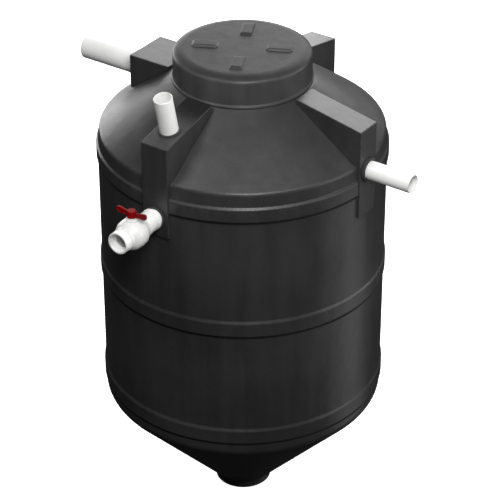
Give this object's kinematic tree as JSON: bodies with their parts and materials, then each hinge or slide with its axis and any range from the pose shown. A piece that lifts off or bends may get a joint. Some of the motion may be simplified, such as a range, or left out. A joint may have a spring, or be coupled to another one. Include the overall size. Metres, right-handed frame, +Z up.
{
  "type": "biogas digester",
  "caption": "Upright cone-bottomed polyethylene digester tank with a round manhole lid, box housings on its shoulder, plastic pipes and a ball valve for sludge.",
  "frame": {"origin": "centre of the foot's underside, where the tank rests", "axes": "+Z up along the tank's axis, outlet pipe to +X, inlet pipe to -X, sludge valve and clean-out to -Y"},
  "size_m": [1.536, 1.3867, 2.0483],
  "materials": {
    "black_polyethylene": "satin moulded black polyethylene",
    "white_pvc": "smooth white rigid PVC",
    "seal_rubber": "matt black rubber",
    "red_handle": "glossy red plastic"
  },
  "bodies": {
    "digester": {"tank_barrel": "black_polyethylene", "tank_shoulder": "black_polyethylene", "manhole_neck": "black_polyethylene", "tank_bottom_cone": "black_polyethylene", "base_foot": "black_polyethylene", "outlet_housing": "black_polyethylene", "rear_housing": "black_polyethylene", "inlet_housing": "black_polyethylene", "sludge_housing": "black_polyethylene", "lid_gasket": "seal_rubber", "inlet_pipe": "white_pvc", "inlet_seal": "seal_rubber", "outlet_pipe": "white_pvc", "outlet_seal": "seal_rubber", "sludge_pipe": "white_pvc", "sludge_seal": "seal_rubber", "cleanout_pipe": "white_pvc", "cleanout_seal": "seal_rubber", "valve_body": "white_pvc", "valve_collar_inner": "white_pvc", "valve_collar_outer": "white_pvc"},
    "lid": {"lid": "black_polyethylene"},
    "valve_handle": {"valve_handle": "red_handle", "valve_stem": "white_pvc", "valve_ball": "white_pvc"}
  },
  "joints": [
    {"name": "valve_turn", "type": "hinge", "parent": "digester", "child": "valve_handle", "pos_m": [0, -0.718, 1.564], "axis": [0, 0, 1], "range_deg": [0, 90]},
    {"name": "lid_lift", "type": "slide", "parent": "digester", "child": "lid", "axis": [0, 0, 1], "range_m": [0, 0.3]}
  ]
}
